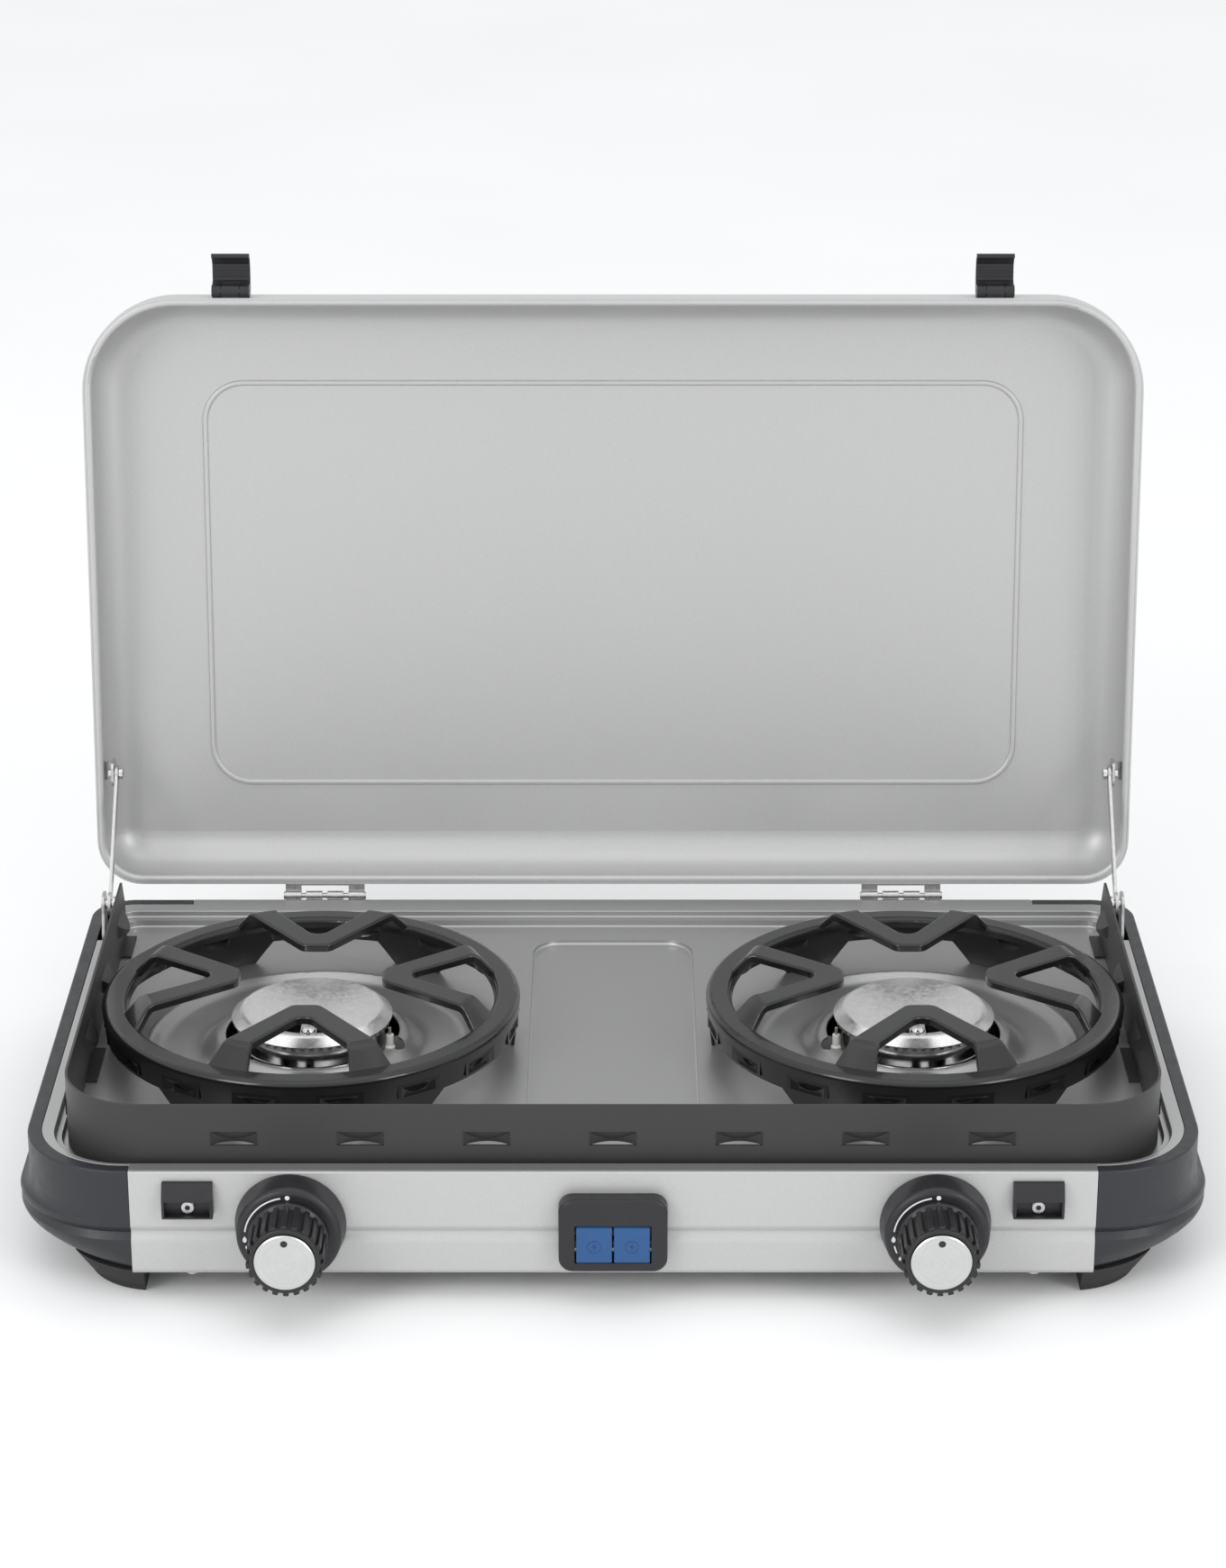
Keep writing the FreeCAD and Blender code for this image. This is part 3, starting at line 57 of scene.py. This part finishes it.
# ---- material helpers ---------------------------------------------------------------------
class Surface:
    """A procedural material: a Principled shader with its details from noise in object space."""

    def __init__(self, name, metallic=0.0, roughness=0.5, **sockets):
        self.material = bpy.data.materials.new(name)
        self.material.use_nodes = True
        self.tree = self.material.node_tree
        self.shader = self.tree.nodes["Principled BSDF"]
        self.shader.inputs["Metallic"].default_value = metallic
        self.shader.inputs["Roughness"].default_value = roughness
        for socket, value in sockets.items():
            self.shader.inputs[socket.replace("_", " ")].default_value = value
        self.coords = self.node("ShaderNodeTexCoord").outputs["Object"]

    def node(self, kind, **values):
        made = self.tree.nodes.new(kind)
        for key, value in values.items():
            setattr(made, key, value)
        return made

    def link(self, source, target):
        self.tree.links.new(source, target)

    def noise(self, scale, detail):
        made = self.node("ShaderNodeTexNoise")
        made.inputs["Scale"].default_value = scale
        made.inputs["Detail"].default_value = detail
        made.inputs["Roughness"].default_value = 0.5
        self.link(self.coords, made.inputs["Vector"])
        return made.outputs["Fac"]

    def spread(self, source, low, high):
        """Stretch the middle of a noise's range to run from low to high."""
        ranged = self.node("ShaderNodeMapRange")
        for socket, value in (("From Min", 0.3), ("From Max", 0.7), ("To Min", low), ("To Max", high)):
            ranged.inputs[socket].default_value = value
        self.link(source, ranged.inputs["Value"])
        return ranged.outputs["Result"]

    def colour(self, source, first, second):
        mix = self.node("ShaderNodeMix", data_type="RGBA")
        self.link(source, mix.inputs["Factor"])
        mix.inputs[6].default_value = (*first, 1)
        mix.inputs[7].default_value = (*second, 1)
        self.link(mix.outputs[2], self.shader.inputs["Base Color"])

    def roughness(self, source, low, high):
        self.link(self.spread(source, low, high), self.shader.inputs["Roughness"])

    def bump(self, source, depth):
        """Relief of the given depth in metres."""
        bump = self.node("ShaderNodeBump")
        bump.inputs["Strength"].default_value = 1.0
        bump.inputs["Distance"].default_value = depth
        self.link(source, bump.inputs["Height"])
        self.link(bump.outputs["Normal"], self.shader.inputs["Normal"])


def shade(colour, amount):
    return tuple(min(1.0, c * amount) for c in colour)


def painted(name, colour, roughness, metallic, flake=0.05, peel=0.00003, coat=0.0, sheen=0.5):
    """Sprayed metal: soft colour drift, a fine flake and a faint orange peel."""
    s = Surface(name, metallic, roughness, Coat_Weight=coat, Coat_Roughness=0.1,
                Specular_IOR_Level=sheen)
    s.colour(s.spread(s.noise(1900, 2), 0, 1), shade(colour, 1 - flake), shade(colour, 1 + flake))
    s.roughness(s.noise(14, 4), roughness - 0.035, roughness + 0.035)
    s.bump(s.noise(420, 2), peel)
    return s.material


def moulded(name, colour, roughness, grain=0.00005, scale=1500, drift=0.10):
    """Injection-moulded plastic with a fine spark-eroded grain."""
    s = Surface(name, 0.0, roughness, IOR=1.47)
    s.colour(s.spread(s.noise(9, 4), 0, 1), shade(colour, 1 - drift), shade(colour, 1 + drift))
    s.roughness(s.noise(160, 3), roughness - 0.05, roughness + 0.05)
    s.bump(s.noise(scale, 2), grain)
    return s.material


def metal(name, colour, roughness, scale=600, depth=0.00002, spread=0.08):
    """Bare or plated metal with a fine mottle."""
    s = Surface(name, 1.0, roughness)
    mottle = s.noise(scale, 4)
    s.colour(s.spread(mottle, 0, 1), shade(colour, 0.92), shade(colour, 1.06))
    s.roughness(s.noise(scale * 0.6, 3), roughness - spread, roughness + spread)
    s.bump(mottle, depth)
    return s.material


def turned_metal(name, colour, centre, roughness=0.26):
    """Aluminium faced on a lathe: fine rings round the knob's axis, which points forward."""
    s = Surface(name, 1.0, roughness, Anisotropic=0.8)
    shift = s.node("ShaderNodeVectorMath", operation="SUBTRACT")
    s.link(s.coords, shift.inputs[0])
    shift.inputs[1].default_value = centre
    around = s.node("ShaderNodeVectorMath", operation="CROSS_PRODUCT")
    s.link(shift.outputs["Vector"], around.inputs[0])
    around.inputs[1].default_value = (0, 1, 0)
    turned = s.node("ShaderNodeVectorTransform", vector_type="VECTOR", convert_from="OBJECT",
                    convert_to="WORLD")
    s.link(around.outputs["Vector"], turned.inputs["Vector"])
    s.link(turned.outputs["Vector"], s.shader.inputs["Tangent"])
    split = s.node("ShaderNodeSeparateXYZ")
    s.link(shift.outputs["Vector"], split.inputs["Vector"])
    flat = s.node("ShaderNodeCombineXYZ")
    s.link(split.outputs["X"], flat.inputs["X"])
    s.link(split.outputs["Z"], flat.inputs["Y"])
    length = s.node("ShaderNodeVectorMath", operation="LENGTH")
    s.link(flat.outputs["Vector"], length.inputs[0])
    rings = s.node("ShaderNodeTexNoise", noise_dimensions="1D")
    rings.inputs["Scale"].default_value = 3200
    rings.inputs["Detail"].default_value = 3
    s.link(length.outputs["Value"], rings.inputs["W"])
    s.colour(s.spread(rings.outputs["Fac"], 0, 1), shade(colour, 0.86), shade(colour, 1.08))
    uneven = s.spread(rings.outputs["Fac"], roughness - 0.08, roughness + 0.1)
    s.link(uneven, s.shader.inputs["Roughness"])
    s.bump(rings.outputs["Fac"], 0.00003)
    return s.material


def make_materials():
    return {
        "silver_paint": painted("silver_paint", (0.495, 0.495, 0.492), 0.40, 0.40),
        "hob_paint": painted("hob_paint", (0.42, 0.42, 0.418), 0.33, 0.72, 0.03, 0.000003),
        "dark_enamel": painted("dark_enamel", (0.027, 0.027, 0.0265), 0.46, 0.0, 0.10, 0.00004),
        "gloss_enamel": painted("gloss_enamel", (0.007, 0.007, 0.0075), 0.32, 0.0, 0.10, 0.00004,
                                0.6, 0.3),
        "dark_plastic": moulded("dark_plastic", (0.019, 0.020, 0.024), 0.42),
        "black_plastic": moulded("black_plastic", (0.014, 0.014, 0.017), 0.38),
        "knob_plastic": moulded("knob_plastic", (0.014, 0.014, 0.0155), 0.34, 0.00003),
        "rubber": moulded("rubber", (0.024, 0.024, 0.025), 0.72, 0.00010, 900),
        "zinc_steel": metal("zinc_steel", (0.56, 0.56, 0.55), 0.34),
        "chrome": metal("chrome", (0.70, 0.70, 0.70), 0.12, 200, 0.000005, 0.03),
        "burner_aluminium": metal("burner_aluminium", (0.50, 0.50, 0.49), 0.48, 900, 0.00005),
        "cap_aluminium": metal("cap_aluminium", (0.86, 0.86, 0.85), 0.42, 700, 0.00002),
        "brass": metal("brass", (0.72, 0.52, 0.22), 0.30),
        "ceramic": moulded("ceramic", (0.80, 0.78, 0.74), 0.22, 0.00001, 500, 0.02),
        "blue_plastic": moulded("blue_plastic", (0.014, 0.075, 0.215), 0.34, 0.00002, 1200, 0.04),
        "lead_sleeve": moulded("lead_sleeve", (0.30, 0.03, 0.02), 0.5, 0.00002, 800),
        "print_white": moulded("print_white", (0.80, 0.80, 0.80), 0.5, 0.00001, 2000, 0.03),
        # black print on the knob pointer, and also the painted shade in the rivet hollows of the latch catches
        "black_print_and_shade": moulded("black_print_and_shade", (0.015, 0.015, 0.016), 0.5, 0.00001, 2000, 0.1),
        "print_blue": moulded("print_blue", (0.010, 0.040, 0.15), 0.45, 0.00001, 2000, 0.03),
    }


# ---- finishes for the CAD nodes -----------------------------------------------------------
def dress_nodes(finishes):
    slot_of = {part["node"]: part["material_slot"] for part in frame["record"]["subparts"]}
    for name in sorted(NODES):
        if slot_of[name] == "turned_aluminium":
            finish = turned_metal(name + "_face", (0.62, 0.62, 0.62), middle(name))
        else:
            finish = finishes[slot_of[name]]
        for holder in NODES[name].material_slots:
            holder.material = finish


# ---- printed marks, and painted shade in the rivet hollows --------------------------------
PRINT = 0.15 * MM           # how far a printed mark stands proud


def plate(name, outlines, place, material, body):
    """Thin raised shapes from closed outlines of (x, z) points; place puts them on a face."""
    build = bmesh.new()
    for points in outlines:
        front = [build.verts.new(place(x, z, PRINT)) for x, z in points]
        back = [build.verts.new(place(x, z, -PRINT)) for x, z in points]
        build.faces.new(front)
        build.faces.new(back[::-1])
        for i in range(len(points)):
            j = (i + 1) % len(points)
            build.faces.new((front[i], back[i], back[j], front[j]))
    bmesh.ops.recalc_face_normals(build, faces=build.faces)
    mesh = bpy.data.meshes.new(name)
    build.to_mesh(mesh)
    build.free()
    mesh.materials.append(material)
    piece = bpy.data.objects.new(name, mesh)
    bpy.context.scene.collection.objects.link(piece)
    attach(piece, body)
    return piece


def circle(x, z, radius):
    count = 32
    return [(x + radius * math.cos(math.tau * i / count), z + radius * math.sin(math.tau * i / count))
            for i in range(count)]


def arc_band(radius, width, start, stop):
    """Closed outline of a band along a circle, between two angles in degrees."""
    steps = 28
    angles = [math.radians(start + (stop - start) * i / steps) for i in range(steps + 1)]
    outer = [((radius + width / 2) * math.cos(a), (radius + width / 2) * math.sin(a)) for a in angles]
    inner = [((radius - width / 2) * math.cos(a), (radius - width / 2) * math.sin(a)) for a in angles]
    return outer + inner[::-1]


def flame(x, z, size):
    """Drop with its point up, which stands for a flame."""
    count = 28
    points = []
    for i in range(count):
        a = math.tau * i / count
        taper = (1 + math.sin(a)) / 2
        points.append((x + size * 0.62 * math.cos(a) * (1 - taper ** 3), z + size * math.sin(a)))
    return points


def knob_marks(finishes):
    ring, size, sunk = 20.6 * MM, 1.25 * MM, 0.35 * MM
    for side in ("left", "right"):
        axis = joint(side + "_knob_turn")["pos_m"]
        face_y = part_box(side + "_knob_bezel")[0].y

        def on_bezel(x, z, proud, axis=axis, face_y=face_y):
            return Vector((axis[0] + x, face_y - proud, axis[2] + z))

        large, small = math.radians(183), math.radians(213)
        shapes = [circle(0, ring, 1.1 * MM), arc_band(ring, 0.7 * MM, 99, 172),
                  flame(ring * math.cos(large), ring * math.sin(large), size * 1.35),
                  arc_band(ring, 0.7 * MM, 193, 204),
                  flame(ring * math.cos(small), ring * math.sin(small), size * 0.9)]
        plate(side + "_knob_scale", shapes, on_bezel, finishes["print_white"], "base")
        insert_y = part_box(side + "_knob_insert")[0].y

        def on_insert(x, z, proud, axis=axis, insert_y=insert_y):
            return Vector((axis[0] + x, insert_y + sunk - proud, axis[2] + z))

        plate(side + "_knob_pointer", [circle(0, 10.0 * MM, 1.65 * MM)], on_insert,
              finishes["black_print_and_shade"], side + "_control")


def rivet_hollow_shades(finishes):
    """Black disc sunk in the middle of each rivet on the latch catches: painted shade that stands for the shadow
    in the rivet's hollow.
    """
    low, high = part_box("catch_studs")
    inset, deep, radius = 3.4 * MM, 1.0 * MM, 1.25 * MM
    for name, x in (("left", low.x + inset), ("right", high.x - inset)):
        def in_recess(dx, dz, proud, x=x):
            return Vector((x + dx, low.y + deep - proud, (low.z + high.z) / 2 + dz))

        # the black disc is painted shade, not a dark part of the rivet
        plate(name + "_stud_shade_disc", [circle(0, 0, radius)], in_recess, finishes["black_print_and_shade"],
              "base")


def button_marks(finishes):
    bolt = [(0.5, 1.9), (-1.25, -0.35), (-0.15, -0.2), (-0.5, -1.9), (1.25, 0.35), (0.15, 0.2)]
    thinner = 0.6           # of the usual height of a print
    for side in ("left", "right"):
        low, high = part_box(side + "_ignition_button")
        x, z, face_y = (low.x + high.x) / 2, (low.z + high.z) / 2 - 0.8 * MM, low.y

        def on_button(dx, dz, proud, x=x, z=z, face_y=face_y):
            return Vector((x + dx, face_y - proud * thinner, z + dz))

        shapes = [arc_band(3.1 * MM, 0.34 * MM, 0, 179.9), arc_band(3.1 * MM, 0.34 * MM, 180, 359.9),
                  [(a * MM, b * MM) for a, b in bolt]]
        plate(side + "_spark_icon", shapes, on_button, finishes["print_blue"],
              side + "_button")


# ---- burner caps --------------------------------------------------------------------------
def cap_webs(finishes):
    """Two webs that narrow the slot in the front of each burner cap, flush with its top."""
    inside, edge, deep, low, thick = 14.0 * MM, 18.5 * MM, 12.0 * MM, 18.0 * MM, 1.2 * MM
    steps = 10
    swing = math.asin(deep / inside)
    arc = [(inside * math.cos(swing * i / steps), -inside * math.sin(swing * i / steps))
           for i in range(steps + 1)]
    outline = [(edge, 0)] + arc + [(edge, -low)]
    for side in ("left", "right"):
        centre = middle(side + "_burner_cap")
        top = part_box(side + "_burner_cap")[1].z

        def on_cap(x, y, proud, centre=centre, top=top):
            return Vector((centre.x + x, centre.y + y, top if proud > 0 else top - thick))

        shapes = [outline, [(-x, y) for x, y in outline]]
        plate(side + "_cap_web", shapes, on_cap, finishes["cap_aluminium"], "base")


# ---- floor, light and camera --------------------------------------------------------------
def make_floor():
    size, drop = 16.0, 0.0004
    bpy.ops.mesh.primitive_plane_add(size=size, location=(0, 0, -drop))
    floor = bpy.context.object
    floor.name = "floor"
    s = Surface("floor_paper", 0.0, 0.85)
    s.colour(s.spread(s.noise(3, 2), 0, 1), (0.88, 0.88, 0.88), (0.90, 0.90, 0.90))
    floor.data.materials.append(s.material)


def area_light(name, place, target, size, power):
    data = bpy.data.lights.new(name, "AREA")
    data.shape = "RECTANGLE"
    data.size, data.size_y = size
    data.energy = power
    light = bpy.data.objects.new(name, data)
    light.location = place
    light.rotation_euler = (Vector(target) - Vector(place)).to_track_quat("-Z", "Y").to_euler()
    bpy.context.scene.collection.objects.link(light)


def make_light():
    world = bpy.data.worlds.new("studio")
    world.use_nodes = True
    background = world.node_tree.nodes["Background"]
    background.inputs["Color"].default_value = (0.98, 0.99, 1.0, 1)
    background.inputs["Strength"].default_value = 1.0
    bpy.context.scene.world = world
    bpy.context.scene.view_settings.view_transform = "Standard"
    area_light("overhead", (0, -0.3, 2.2), (0, 0, 0.1), (2.4, 1.6), 6)
    area_light("front_left", (-1.7, -2.0, 1.5), (0, 0, 0.1), (0.9, 1.4), 22)
    area_light("front_right", (1.8, -1.8, 1.2), (0, 0, 0.1), (0.7, 1.2), 14)


CAMERA_BACK, CAMERA_HIGH = 1.8398, 0.9247
CAMERA_PITCH, CAMERA_LENS = 21.7, 91.03


def make_camera():
    data = bpy.data.cameras.new("camera")
    data.lens = CAMERA_LENS
    camera = bpy.data.objects.new("camera", data)
    camera.location = (0, -CAMERA_BACK, CAMERA_HIGH)
    camera.rotation_euler = (math.radians(90 - CAMERA_PITCH), 0, 0)
    bpy.context.scene.collection.objects.link(camera)
    bpy.context.scene.camera = camera


make_camera()
make_floor()
make_light()
FINISHES = make_materials()
dress_nodes(FINISHES)
knob_marks(FINISHES)
button_marks(FINISHES)
rivet_hollow_shades(FINISHES)
cap_webs(FINISHES)
